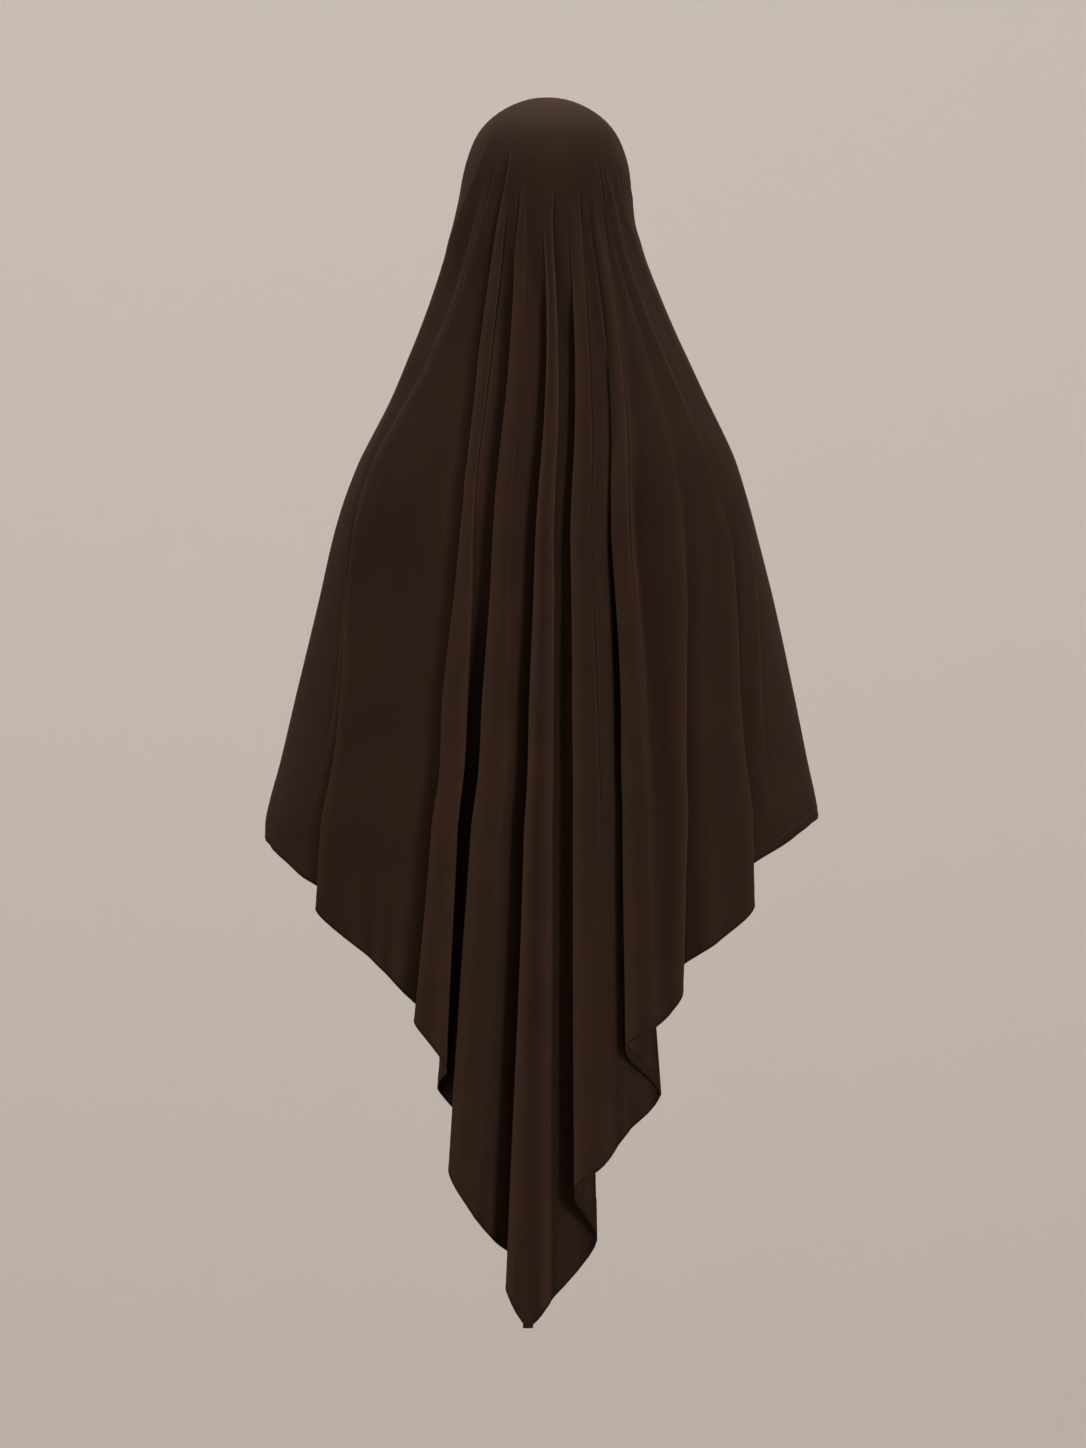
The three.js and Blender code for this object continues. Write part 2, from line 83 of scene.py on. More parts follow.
# Creases round the back, left to right. Across at head, neck, shoulder, waist, hip and hem, as
# shares of half the span; where the crease ends, from the corners (0) to the point (1); where its
# fold starts, as a share of the drop to the shoulders; then its lift out of the section at neck,
# shoulder, waist and hem, as shares of the fold depth.
backCreases = [
    ("leftSide", -1, -1, -1, -1, -1, -1, 0.025, 0, 0, 0, 0, 0),
    ("leftRoll", -0.82, -0.965, -0.935, -0.836, -0.838, -0.85, 0.1, 0.15, 0.08, 0, 0.02, 0),
    ("leftRollValley", -0.73, -0.84, -0.917, -0.792, -0.762, -0.776, 0.14, 0.2, -0.05, 0, -0.2, -0.28),
    ("leftPanelEdge", -0.64, -0.75, -0.893, -0.797, -0.775, -0.795, 0.165, 0.25, 0.08, 0, 0.05, 0.07),
    ("leftPanel", -0.56, -0.666, -0.656, -0.567, -0.565, -0.6, 0.265, 0.25, 0, 0, 0, 0),
    ("leftPanelTurn", -0.5, -0.596, -0.495, -0.456, -0.45, -0.495, 0.33, 0.25, -0.06, -0.06, -0.09, -0.11),
    ("leftPanelValley", -0.46, -0.527, -0.373, -0.371, -0.361, -0.435, 0.37, 0.22, -0.13, -0.2, -0.27, -0.23),
    ("narrowFoldEdge", -0.435, -0.502, -0.404, -0.394, -0.377, -0.446, 0.39, 0.19, 0.02, 0.02, 0.05, 0.07),
    ("narrowFoldBackEdge", -0.4, -0.423, -0.35, -0.306, -0.294, -0.337, 0.48, 0.19, -0.01, 0, 0, 0),
    ("leftChannelInner", -0.38, -0.408, -0.34, -0.302, -0.298, -0.4, 0.53, 0.3, -0.03, -0.03, -0.2, -0.9),
    ("leftChannelOuter", -0.36, -0.3, -0.222, -0.2, -0.19, -0.28, 0.62, 0.36, -0.12, -0.22, -0.5, -0.95),
    ("leftFoldEdge", -0.335, -0.278, -0.245, -0.247, -0.242, -0.327, 0.693, 0.25, 0.02, 0.02, 0.05, 0.07),
    ("leftFold", -0.25, -0.2, -0.174, -0.153, -0.148, -0.24, 0.78, 0.25, 0.02, 0, 0, 0),
    ("leftFoldTurn", -0.165, -0.1, -0.125, -0.122, -0.12, -0.175, 0.828, 0.28, -0.04, -0.07, -0.12, -0.22),
    ("leftFoldValley", -0.11, -0.012, -0.024, -0.034, -0.038, -0.091, 0.876, 0.4, -0.08, -0.3, -0.42, -0.58),
    ("pointFoldEdge", -0.03, 0.0, -0.045, -0.058, -0.058, -0.123, 0.929, 0.27, 0.02, 0.02, 0.05, 0.07),
    ("point", 0.025, 0.03, -0.015, -0.017, -0.018, -0.049, 1, 0.27, 0, 0, 0.01, 0.02),
    ("pointFoldBackEdge", 0.075, 0.07, 0.03, 0.034, 0.035, 0.022, 0.959, 0.27, 0.02, 0, 0, 0),
    ("middleChannelInner", 0.16, 0.095, 0.042, 0.045, 0.046, 0.045, 0.942, 0.27, -0.04, -0.08, -0.1, -0.2),
    ("middleChannelOuter", 0.235, 0.214, 0.15, 0.15, 0.152, 0.204, 0.833, 0.45, -0.08, -0.2, -0.3, -0.6),
    ("middleFoldEdge", 0.285, 0.223, 0.118, 0.108, 0.109, 0.113, 0.732, 0.37, 0.02, 0.02, 0.05, 0.07),
    ("middleFoldCrestEdge", 0.36, 0.309, 0.202, 0.2, 0.203, 0.218, 0.677, 0.25, 0.05, 0.02, 0.02, 0.02),
    ("middleFoldTurn", 0.435, 0.42, 0.278, 0.264, 0.268, 0.309, 0.613, 0.3, -0.02, -0.05, -0.11, -0.25),
    ("rightChannel", 0.508, 0.445, 0.32, 0.33, 0.349, 0.452, 0.541, 0.55, -0.02, -0.15, -0.47, -0.77),
    ("rightFoldEdge", 0.535, 0.467, 0.31, 0.293, 0.281, 0.29, 0.442, 0.5, 0, 0.02, 0.05, 0.07),
    ("rightFoldCrestEdge", 0.585, 0.53, 0.378, 0.37, 0.368, 0.385, 0.405, 0.2, 0.07, 0.15, 0.17, 0.09),
    ("rightFoldHollow", 0.633, 0.63, 0.46, 0.45, 0.45, 0.45, 0.375, 0.22, -0.02, -0.04, -0.04, -0.02),
    ("rightFoldBack", 0.65, 0.691, 0.636, 0.554, 0.52, 0.497, 0.331, 0.6, 0, 0, 0.03, 0.05),
    ("rightPanelValley", 0.665, 0.718, 0.665, 0.556, 0.514, 0.484, 0.292, 0.3, -0.02, 0, -0.06, -0.22),
    ("rightPanel", 0.69, 0.744, 0.76, 0.662, 0.63, 0.623, 0.229, 0.3, 0, 0, 0, 0),
    ("rightPanelEdge", 0.72, 0.779, 0.853, 0.76, 0.741, 0.747, 0.157, 0.22, 0.02, 0.02, 0.05, 0.07),
    ("rightRollValley", 0.765, 0.85, 0.89, 0.75, 0.716, 0.712, 0.106, 0.22, 0.01, 0.01, -0.2, -0.32),
    ("rightRollTurn", 0.81, 0.895, 0.927, 0.8, 0.766, 0.757, 0.072, 0.2, 0.01, 0.01, -0.07, -0.09),
    ("rightRoll", 0.88, 0.95, 0.964, 0.853, 0.825, 0.857, 0.036, 0.15, 0.05, 0.02, 0.04, 0),
    ("rightSide", 1, 1, 1, 1, 1, 1, -0.023, 0, 0, 0, 0, 0),
]

# Creases round the front, from right to left, with the same columns. They end from the corners
# (0) to the middle of the front hem (1).
frontCreases = [
    ("rightArm", 0.96, 0.96, 0.955, 0.95, 0.947, 0.945, -0.45, 0.3, 0, 0, 0, 0),
    ("rightBreastFold", 0.84, 0.85, 0.8, 0.8, 0.795, 0.79, -0.25, 0.3, 0, 0.03, 0.08, 0.12),
    ("rightBreastValley", 0.72, 0.74, 0.66, 0.67, 0.67, 0.67, 0, 0.3, 0, -0.06, -0.16, -0.22),
    ("rightFrontFold", 0.58, 0.6, 0.5, 0.52, 0.525, 0.53, 0.35, 0.3, 0, 0.04, 0.1, 0.14),
    ("rightFrontValley", 0.43, 0.46, 0.36, 0.37, 0.37, 0.37, 0.6, 0.3, -0.02, -0.12, -0.28, -0.38),
    ("chinFoldRight", 0.28, 0.3, 0.22, 0.22, 0.22, 0.22, 0.85, 0.3, 0.02, 0.05, 0.1, 0.14),
    ("chinValleyRight", 0.1, 0.12, 0.08, 0.08, 0.075, 0.07, 0.95, 0.3, -0.02, -0.1, -0.26, -0.36),
    ("chinFoldMiddle", -0.06, -0.05, -0.07, -0.09, -0.095, -0.1, 1, 0.3, 0.02, 0.05, 0.12, 0.16),
    ("chinValleyLeft", -0.24, -0.22, -0.22, -0.24, -0.245, -0.25, 0.9, 0.3, -0.02, -0.12, -0.3, -0.4),
    ("chinFoldLeft", -0.4, -0.4, -0.36, -0.38, -0.39, -0.4, 0.75, 0.3, 0.02, 0.05, 0.1, 0.14),
    ("leftFrontValley", -0.57, -0.58, -0.52, -0.54, -0.545, -0.55, 0.6, 0.3, 0, -0.08, -0.2, -0.28),
    ("leftFrontFold", -0.74, -0.75, -0.68, -0.7, -0.705, -0.71, 0.5, 0.3, 0, 0.03, 0.08, 0.12),
    ("leftBreastValley", -0.88, -0.89, -0.84, -0.85, -0.85, -0.85, 0.4, 0.3, 0, -0.03, -0.08, -0.12),
    ("leftArm", -0.97, -0.97, -0.96, -0.96, -0.958, -0.955, 0.45, 0.3, 0, 0, 0, 0),
]

veilMesh = {
    "atEdge": 0.6,  # mm between two columns at the waist, beside a fold's edge
    "atCrease": 2.4,  # and beside any other crease
    "inFront": 1.8,  # how much wider apart they are in front
    "spread": 0.34,  # how fast columns spread out away from a crease
    "fewest": 4,  # columns from one crease to the next
    "domeRows": 18,
    "fallRows": 98,
    "rowCrowding": 1.2,  # above 1, rows crowd to the head
    "hemRows": 12,
    "hemBand": 34,  # mm above the hem where rows lie close
    "thickness": 0.9,  # mm
}

# Fine ridges where the tension starts a fold or only marks the cloth. rise and width are mm, steep
# is the side (-1 left, 1 right) that drops sharply, soft is that drop's width in mm. path is
# (drop, turn): turn counts the creases of the back, so that 7 is the narrow fold's edge.
ridges = [
    {"name": "leftRoll", "rise": 1.5, "width": 7, "steep": -1, "soft": 3,
     "path": [(36, 1.9), (60, 1.5), (96, 0.98), (148, 0.85), (200, 0.8)]},
    {"name": "leftRollLine", "rise": 1.2, "width": 5, "steep": -1,
     "path": [(410, 1.0), (500, 1.05), (600, 1.08), (700, 1.15), (760, 1.2)]},
    {"name": "leftTemple", "rise": 1.4, "width": 6, "steep": -1,
     "path": [(50, 4.4), (72, 4.0), (132, 3.3), (196, 3.2), (266, 3.1), (430, 3.05)]},
    {"name": "narrowFold", "rise": 1.5, "width": 4.5, "steep": -1,
     "path": [(52, 6.9), (107, 7.0), (170, 7.0), (240, 7.0), (420, 7.0)]},
    {"name": "narrowFoldBack", "rise": 1.1, "width": 4, "steep": 1,
     "path": [(108, 8.1), (150, 8.05), (200, 8.0), (300, 8.0), (560, 8.0)]},
    {"name": "leftFold", "rise": 1.3, "width": 5, "steep": -1,
     "path": [(84, 11.7), (130, 11.5), (170, 11.05), (240, 11.0), (420, 11.0)]},
    {"name": "leftFoldMiddle", "rise": 0.6, "width": 4, "steep": 1,
     "path": [(100, 12.3), (150, 12.2), (200, 12.1), (260, 12.0)]},
    {"name": "leftFoldLine", "rise": 0.55, "width": 4, "steep": 1,
     "path": [(330, 12.0), (420, 12.1), (560, 12.15), (700, 12.1)]},
    {"name": "pointFold", "rise": 1.1, "width": 4.5, "steep": -1,
     "path": [(132, 15.1), (180, 15.0), (240, 15.0), (420, 15.0)]},
    {"name": "pointFoldBack", "rise": 1.2, "width": 4, "steep": 1,
     "path": [(92, 17.3), (140, 17.15), (175, 17.0), (240, 17.0), (400, 17.0), (700, 17.0)]},
    {"name": "middleFoldEdge", "rise": 0.9, "width": 4.5, "steep": -1,
     "path": [(146, 20.2), (200, 20.0), (260, 20.0), (400, 20.0)]},
    {"name": "middleFold", "rise": 1.2, "width": 5, "steep": 1,
     "path": [(90, 21.5), (140, 21.4), (200, 21.1), (258, 21.0), (420, 21.1)]},
    {"name": "middleFoldLine", "rise": 0.6, "width": 4, "steep": 1,
     "path": [(300, 21.05), (420, 21.1), (560, 21.0), (760, 21.0), (960, 21.0)]},
    {"name": "rightFold", "rise": 1.4, "width": 5, "steep": 1,
     "path": [(60, 24.8), (104, 26.0), (152, 25.75), (192, 25.3), (252, 25.1), (420, 25.0), (560, 25.0)]},
    {"name": "middleFoldTwin", "rise": 0.6, "width": 3.5, "steep": -1,
     "path": [(170, 21.3), (210, 21.27), (258, 21.17), (420, 21.24), (560, 21.14), (760, 21.14)]},
    {"name": "rightFoldTwin", "rise": 0.8, "width": 4, "steep": -1,
     "path": [(200, 25.5), (252, 25.27), (340, 25.2), (420, 25.17), (560, 25.17), (760, 25.15)]},
    {"name": "rightBetween", "rise": 0.7, "width": 4, "steep": 1,
     "path": [(66, 26.6), (92, 27.6), (116, 28.3)]},
    {"name": "rightNeck", "rise": 2.0, "width": 8, "steep": 1, "soft": 5, "groove": 0,
     "path": [(70, 28.4), (116, 30.4), (162, 30.0), (202, 29.95), (252, 29.8), (300, 29.75), (420, 29.6)]},
    {"name": "rightRoll", "rise": 1.3, "width": 6, "steep": 1, "soft": 2,
     "path": [(48, 32.0), (75, 33.1), (98, 33.9), (125, 34.0)]},
    {"name": "rightRollInner", "rise": 1.3, "width": 6, "steep": 1, "soft": 3, "groove": 0,
     "path": [(64, 31.8), (110, 32.2), (136, 32.8), (180, 32.8), (230, 32.8), (300, 33.0), (400, 33.0)]},
    {"name": "rightFoldCrest", "rise": 1.5, "width": 8, "steep": 1, "soft": 6,
     "path": [(380, 25.15), (480, 25.1), (600, 25.0), (760, 25.0), (940, 25.0)]},
    {"name": "rightRollLine", "rise": 1.2, "width": 7, "steep": 1, "soft": 3,
     "path": [(430, 33.0), (500, 33.0), (600, 33.0), (700, 33.0)]},
    {"name": "leftPanelLine", "rise": 1.8, "width": 7, "steep": -1,
     "path": [(400, 3.06), (470, 3.03), (540, 3.0), (640, 3.0), (760, 3.0), (880, 3.0)]},
    {"name": "rightPanelLine", "rise": 1.8, "width": 6, "steep": 1,
     "path": [(410, 29.94), (470, 29.96), (540, 30.0), (640, 30.0), (760, 30.0), (880, 30.0)]},
    {"name": "leftShoulderTop", "rise": 1.8, "width": 16, "steep": -1, "soft": 11, "groove": 0,
     "path": [(270, 3.0), (320, 2.95), (390, 2.9)]},
    {"name": "leftShoulder", "rise": 1.1, "width": 11, "steep": 1, "soft": 7,
     "path": [(360, 3.25), (420, 3.3), (480, 3.34)]},
    {"name": "leftShoulderInner", "rise": 0.8, "width": 9, "steep": -1, "soft": 6,
     "path": [(390, 3.05), (430, 3.08), (480, 3.1)]},
    {"name": "rightShoulder", "rise": 1.6, "width": 11, "steep": 1, "soft": 9,
     "path": [(380, 26.95), (440, 27.0), (500, 27.0), (570, 27.0)]},
    {"name": "rightShoulderOuter", "rise": 1.0, "width": 9, "steep": 1, "soft": 6,
     "path": [(380, 29.5), (410, 29.6), (450, 29.75)]},
]

# What holds for each ridge unless its own row says otherwise. fadeIn is mm and fadeOut a share of
# its length. The groove under the drop is a share of the rise, and lies groovePlace drop widths off.
plainRidge = {"soft": 1.0, "groove": 0.4, "groovePlace": 2.2, "fadeIn": 30, "fadeOut": 0.45}

# Slow waves between the folds, in mm: least and most of their widths, lengths and middles
waves = {
    "count": 9, "rise": 1.3, "seed": 11, "widths": (34, 120), "lengths": (420, 1100),
    "middles": (200, 1000), "reach": 330, "growsIn": (130, 430),
}
# Short waves along the hem, in mm. drift, in radians, makes them uneven, driftWaves waves at a time.
hemWaves = {"rise": 0.7, "length": 38, "reach": 60, "drift": 1.7, "driftWaves": 3.3}

# How far from a point the cloth's bend is gathered, in mm, and the drops where it starts to count
# The bend sets where the crepe is painted lighter, as a painted highlight, and darker, as painted shade
bendReach = {"fine": 1.0, "wide": 6.0, "growsIn": (30, 70)}


def closedRing(values):
    return np.concatenate([values, values[:1]])


def lengthAlong(path):
    # how far each point of a path lies from its first one
    return np.concatenate([[0], np.cumsum(np.linalg.norm(np.diff(path, axis=0), axis=-1))])


def between(a, b, share):
    return a + (b - a) * share


def smoothThrough(knots, x):
    # a smooth curve through knots (x, value), level beyond both ends
    xs = np.array([k[0] for k in knots], float)
    ys = np.array([k[1] for k in knots], float)
    slopes = np.empty_like(ys)
    slopes[1:-1] = (ys[2:] - ys[:-2]) / (xs[2:] - xs[:-2])
    slopes[0] = (ys[1] - ys[0]) / (xs[1] - xs[0])
    slopes[-1] = (ys[-1] - ys[-2]) / (xs[-1] - xs[-2])
    x = np.clip(np.asarray(x, float), xs[0], xs[-1])
    i = np.clip(np.searchsorted(xs, x, side="right") - 1, 0, len(xs) - 2)
    width = xs[i + 1] - xs[i]
    t = (x - xs[i]) / width
    rise = (1 + 2 * t) * (1 - t) ** 2 * ys[i] + t * t * (3 - 2 * t) * ys[i + 1]
    lean = t * (1 - t) ** 2 * slopes[i] + t * t * (t - 1) * slopes[i + 1]
    return rise + width * lean


def sectionKnots():
    # the span, back, front and shift of the sections, each as knots down the veil
    f = veilForm
    levels = [
        (f["domeHeight"], f["domeSpan"], f["domeBack"], f["domeFront"], 0),
        (f["napeDrop"], f["napeSpan"], f["napeBack"], f["napeFront"], -f["headTurn"]),
        (f["shoulderDrop"], f["shoulderSpan"], f["shoulderBack"], f["shoulderFront"], 0),
        (f["cornerDrop"], f["cornerSpan"], f["cornerBack"], f["cornerFront"], -f["cornerLean"]),
        (f["pointDrop"], f["cornerSpan"], f["pointBack"], f["cornerFront"], -f["cornerLean"]),
    ]
    rows = list(levels)
    for level, *shares in sectionsBetween:
        rows.append(tuple(map(between, levels[level], levels[level + 1], shares)))
    rows.sort()
    return {size: [(row[0], row[k]) for row in rows]
            for k, size in enumerate(("span", "back", "front", "shift"), 1)}


sectionSizes = sectionKnots()


def section(drop):
    # the horizontal section at each drop: half its span, its reach behind and before, its shift
    height = veilForm["domeHeight"]
    dome = np.sqrt(1 - np.clip(1 - drop / height, 0, 1) ** 2)
    return (dome * smoothThrough(sectionSizes["span"], drop) / 2,
            dome * smoothThrough(sectionSizes["back"], drop),
            dome * smoothThrough(sectionSizes["front"], drop),
            smoothThrough(sectionSizes["shift"], drop))


def creaseList():
    f, levels = veilForm, creaseLevels
    head = levels["head"] * f["domeHeight"]
    neck = between(f["napeDrop"], f["shoulderDrop"], levels["neck"])
    waist = between(f["shoulderDrop"], f["cornerDrop"], levels["waist"])
    hip = between(f["shoulderDrop"], f["cornerDrop"], levels["hip"])
    found = []
    for face, rows, lowest in ((-1, backCreases, "pointDrop"), (1, frontCreases, "frontDrop")):
        for name, *row in rows:
            across, ends, start, lifts = row[:6], row[6], row[7], row[8:]
            hem = between(f["cornerDrop"], f[lowest], ends)
            found.append({
                "name": name, "face": face, "hem": hem, "start": start * f["shoulderDrop"],
                "across": list(zip((head, neck, f["shoulderDrop"], waist, hip, hem), across)),
                "lift": list(zip((neck, f["shoulderDrop"], waist, hem), lifts)),
            })
    return found


creases = creaseList()
creaseCount = len(creases)


def easeIn(start, end, x):
    share = np.clip((x - start) / (end - start), 0, 1)
    return share * share * (3 - 2 * share)


def creasePoint(crease, drop):
    # where a crease crosses the sections at these drops: x and y
    half, back, front, shift = section(drop)
    across = smoothThrough(crease["across"], drop)
    reach = front if crease["face"] > 0 else back
    along = crease["face"] * np.sqrt(np.clip(1 - across ** 2, 0, 1))
    outX, outY = across / np.maximum(half, 1e-6), along / np.maximum(reach, 1e-6)
    size = np.hypot(outX, outY)
    lift = veilForm["foldDepth"] * smoothThrough(crease["lift"], drop)
    lift = lift * easeIn(crease["start"], crease["start"] + veilForm["foldGrowth"], drop)
    x = shift * (drop > 0) + half * across + lift * outX / size
    y = reach * along + lift * outY / size
    return np.stack([x, y], -1)


def curveBetween(p, t):
    # a smooth curve from p[1] to p[2], at shares t of the way, that heeds p[0] and p[3] as well
    gap = [np.sqrt(np.linalg.norm(p[j + 1] - p[j], axis=-1))[:, None] for j in range(3)]
    # creases meet at the crown, where there is no gap
    noGap = 1e-4
    gap[1] = np.where(gap[1] < noGap, 1.0, gap[1])
    gap[0] = np.where(gap[0] < noGap, gap[1], gap[0])
    gap[2] = np.where(gap[2] < noGap, gap[1], gap[2])
    start = ((p[1] - p[0]) / gap[0] - (p[2] - p[0]) / (gap[0] + gap[1])
             + (p[2] - p[1]) / gap[1]) * gap[1]
    end = ((p[2] - p[1]) / gap[1] - (p[3] - p[1]) / (gap[1] + gap[2])
           + (p[3] - p[2]) / gap[2]) * gap[1]
    t = t[:, None]
    return ((1 + 2 * t) * (1 - t) ** 2 * p[1] + t * t * (3 - 2 * t) * p[2]
            + t * (1 - t) ** 2 * start + t * t * (t - 1) * end)


def ringPoint(turn, drop):
    # a point of the outer face. turn counts creases round the veil, from the left side
    drop = np.asarray(drop, float)
    turn = np.broadcast_to(np.asarray(turn, float) % creaseCount, drop.shape)
    whole = np.floor(turn).astype(int)
    result = np.empty(drop.shape + (2,))
    for k in np.unique(whole):
        here = whole == k
        beside = [creasePoint(creases[(k + step) % creaseCount], drop[here]) for step in (-1, 0, 1, 2)]
        result[here] = curveBetween(beside, turn[here] - k)
    return result


def hemCurve(turn):
    # the drop of the hem round the veil, smooth from crease to crease
    hems = [crease["hem"] for crease in creases]
    ends = np.array([(*ringPoint(k, np.array([hem]))[0], hem) for k, hem in enumerate(hems)])
    k = np.floor(turn).astype(int)
    beside = [ends[(k + step) % creaseCount] for step in (-1, 0, 1, 2)]
    return curveBetween(beside, turn - k)[:, 2]


def columnTurns():
    # the columns round the veil, close together at the edges of folds, where the cloth bends most
    m = veilMesh
    waist = np.array([between(veilForm["shoulderDrop"], veilForm["cornerDrop"], creaseLevels["waist"])])
    places = [creasePoint(crease, waist)[0] for crease in creases]
    beside = [m["atEdge" if crease["name"].endswith("Edge") else "atCrease"]
              * (1 if crease["face"] < 0 else m["inFront"]) for crease in creases]
    samples = 400
    found = []
    for k in range(creaseCount):
        after = (k + 1) % creaseCount
        away = np.linspace(0, np.linalg.norm(places[after] - places[k]), samples)
        gap = m["spread"] * np.minimum(away + beside[k] / m["spread"],
                                       away[-1] - away + beside[after] / m["spread"])
        count = np.cumsum(1 / gap) * away[1]
        steps = max(m["fewest"], round(count[-1]))
        found += list(k + np.interp(np.arange(steps) / steps * count[-1], count - count[0],
                                    away / away[-1]))
    return np.array(found)


turns = columnTurns()
hemDrops = hemCurve(turns)


def rowDrops():
    # drops of every row at every column: round the dome, down the fall, then close to the hem
    height, m = veilForm["domeHeight"], veilMesh
    dome = height * (1 - np.cos(np.linspace(0, math.pi / 2, m["domeRows"] + 1)[:-1]))
    fall = np.linspace(0, 1, m["fallRows"] + 1)[:-1] ** m["rowCrowding"]
    hem = np.linspace(0, 1, m["hemRows"] + 1)
    columns = []
    for bottom in hemDrops:
        top = bottom - m["hemBand"]
        columns.append(np.concatenate([dome, between(height, top, fall), between(top, bottom, hem)]))
    return np.array(columns)


def outward(points):
    # the outward direction at each point of a grid that is closed round the veil
    around = np.roll(points, -1, 0) - np.roll(points, 1, 0)
    out = np.cross(np.gradient(points, axis=1), around)
    out[:, 0] = (0, 0, 1)
    return out / np.maximum(np.linalg.norm(out, axis=-1, keepdims=True), 1e-9)


def ridgeRise(ridge, points, drops):
    # how far one ridge lifts each point: a gentle slope on one side, a short drop on the other
    ridge = plainRidge | ridge
    first, last = ridge["path"][0][0], ridge["path"][-1][0]
    fadesFrom = last - ridge["fadeOut"] * (last - first)
    rise = np.zeros(drops.shape)
    for row in range(1, drops.shape[1]):
        drop = drops[:, row]
        arc = lengthAlong(points[:, row])
        away = arc - np.interp(smoothThrough(ridge["path"], drop), turns, arc)
        away = away * ridge["steep"]
        dropWidths = away / ridge["soft"]
        crest = np.where(away > 0, np.exp(-dropWidths ** 2), np.exp(away / ridge["width"]))
        groove = ridge["groove"] * np.exp(-(dropWidths - ridge["groovePlace"]) ** 2)
        there = easeIn(first, first + ridge["fadeIn"], drop) * (1 - easeIn(fadesFrom, last, drop))
        rise[:, row] = ridge["rise"] * there * (crest - groove)
    return rise


def slowWaves(points, drops):
    # slow waves of the cloth between its folds, and shorter ones along the hem
    rng = np.random.default_rng(waves["seed"])
    shoulderRow = veilMesh["domeRows"] + veilMesh["fallRows"] // 3
    arc = lengthAlong(points[:, shoulderRow])[:, None]
    total = np.zeros(drops.shape)
    for _ in range(waves["count"]):
        width = rng.uniform(*waves["widths"])
        length = rng.choice((-1, 1)) * rng.uniform(*waves["lengths"])
        phase, middle = rng.uniform(0, 2 * math.pi), rng.uniform(*waves["middles"])
        band = np.exp(-((drops - middle) / waves["reach"]) ** 2)
        total += band * np.sin(2 * math.pi * (arc / width + drops / length) + phase)
    total *= waves["rise"] / math.sqrt(waves["count"]) * easeIn(*waves["growsIn"], drops)
    nearHem = np.exp(-(hemDrops[:, None] - drops) / hemWaves["reach"])
    along = lengthAlong(points[:, -1])[:, None] / hemWaves["length"]
    drift = hemWaves["drift"] * np.sin(2 * math.pi * along / hemWaves["driftWaves"])
    return total + hemWaves["rise"] * nearHem * np.sin(2 * math.pi * along + drift)


def veilSurface():
    # the outer face of the cloth, as points[column, row] in mm, with the drop of each
    drops = rowDrops()
    near = (domeBlend["reach"] * easeIn(*domeBlend["growsIn"], drops)
            * (1 - easeIn(*domeBlend["fadesOut"], drops)))
    rings = [ringPoint(turns[:, None], drops + step * near) for step in domeBlend["steps"]]
    xy = sum(rings) / len(rings)
    points = np.concatenate([xy, (veilForm["wall"] - drops)[..., None]], -1)
    rise = slowWaves(points, drops)
    for ridge in ridges:
        rise += ridgeRise(ridge, points, drops)
    return points + outward(points) * rise[..., None], drops


def creasing(reach):
    # how far the cloth bends within this reach of each point: above 0 on a fold, below 0 in a groove
    bends = np.zeros(drops.shape)
    for row in range(1, drops.shape[1]):
        ring = points[:, row, :2]
        step = np.roll(ring, -1, 0) - ring
        before = np.roll(step, 1, 0)
        cross = before[:, 0] * step[:, 1] - before[:, 1] * step[:, 0]
        angle = np.arctan2(cross, (before * step).sum(-1))
        arc = lengthAlong(closedRing(ring))
        length = arc[-1]
        apart = np.abs(arc[:-1, None] - arc[None, :-1])
        apart = np.minimum(apart, length - apart)
        nearby = np.exp(-(apart / reach) ** 2)
        bends[:, row] = nearby @ angle - 2 * math.pi * reach * math.sqrt(math.pi) / length
    return np.clip(bends, -1, 1) * easeIn(*bendReach["growsIn"], drops)


points, drops = veilSurface()
normals = outward(points)
# the bends, fine and wide, by which the veil's colour gets painted highlights over folds and painted shade in
# grooves
creased = np.stack([creasing(bendReach["fine"]), creasing(bendReach["wide"])], -1)
rowNumbers = np.arange(points.shape[1])
backColumns = np.searchsorted(turns, len(backCreases))
print(f"veil: {len(turns)} columns of {len(rowNumbers)} rows, "
      f"hem from {hemDrops.min():.0f} to {hemDrops.max():.0f} mm down")


def onVeil(column, row, grid):
    # a value of the grid between its points, at any column and row
    column = np.asarray(column, float) % len(grid)
    row = np.clip(np.asarray(row, float), 0, len(rowNumbers) - 1.001)
    i, j = np.floor(column).astype(int), np.floor(row).astype(int)
    a, b = column - i, row - j
    if grid.ndim == 3:
        a, b = a[..., None], b[..., None]
    k = (i + 1) % len(grid)
    return ((1 - a) * (1 - b) * grid[i, j] + a * (1 - b) * grid[k, j]
            + (1 - a) * b * grid[i, j + 1] + a * b * grid[k, j + 1])


# The hem: how far each point lies from the edge down its column, and how slanted the hem is there
rowSteps = np.linalg.norm(np.diff(points, axis=1), axis=-1)
toHem = np.concatenate([np.cumsum(rowSteps[:, ::-1], 1)[:, ::-1], np.zeros((len(points), 1))], 1)
hemRing = points[:, -1]
hemAlong = np.roll(hemRing, -1, 0) - np.roll(hemRing, 1, 0)
hemAlong /= np.linalg.norm(hemAlong, axis=-1, keepdims=True)
fall = points[:, -1] - points[:, -3]
fall /= np.linalg.norm(fall, axis=-1, keepdims=True)
hemSlant = np.linalg.norm(np.cross(fall, hemAlong), axis=-1)
hemArc = lengthAlong(closedRing(hemRing))

faceOval = {
    "across": -1.5, "drop": 134, "halfWidth": 62, "up": 70, "down": 100,
    "edgeReach": 1.3,  # the cut's edge is looked for within this many times the oval
}


def ovalPoint(angle, grow=0.0):
    # x and drop of the face opening's edge, or of a larger oval round it
    height = faceOval["up"] if math.sin(angle) > 0 else faceOval["down"]
    return (faceOval["across"] + (faceOval["halfWidth"] + grow) * math.cos(angle),
            faceOval["drop"] - (height + grow) * math.sin(angle))


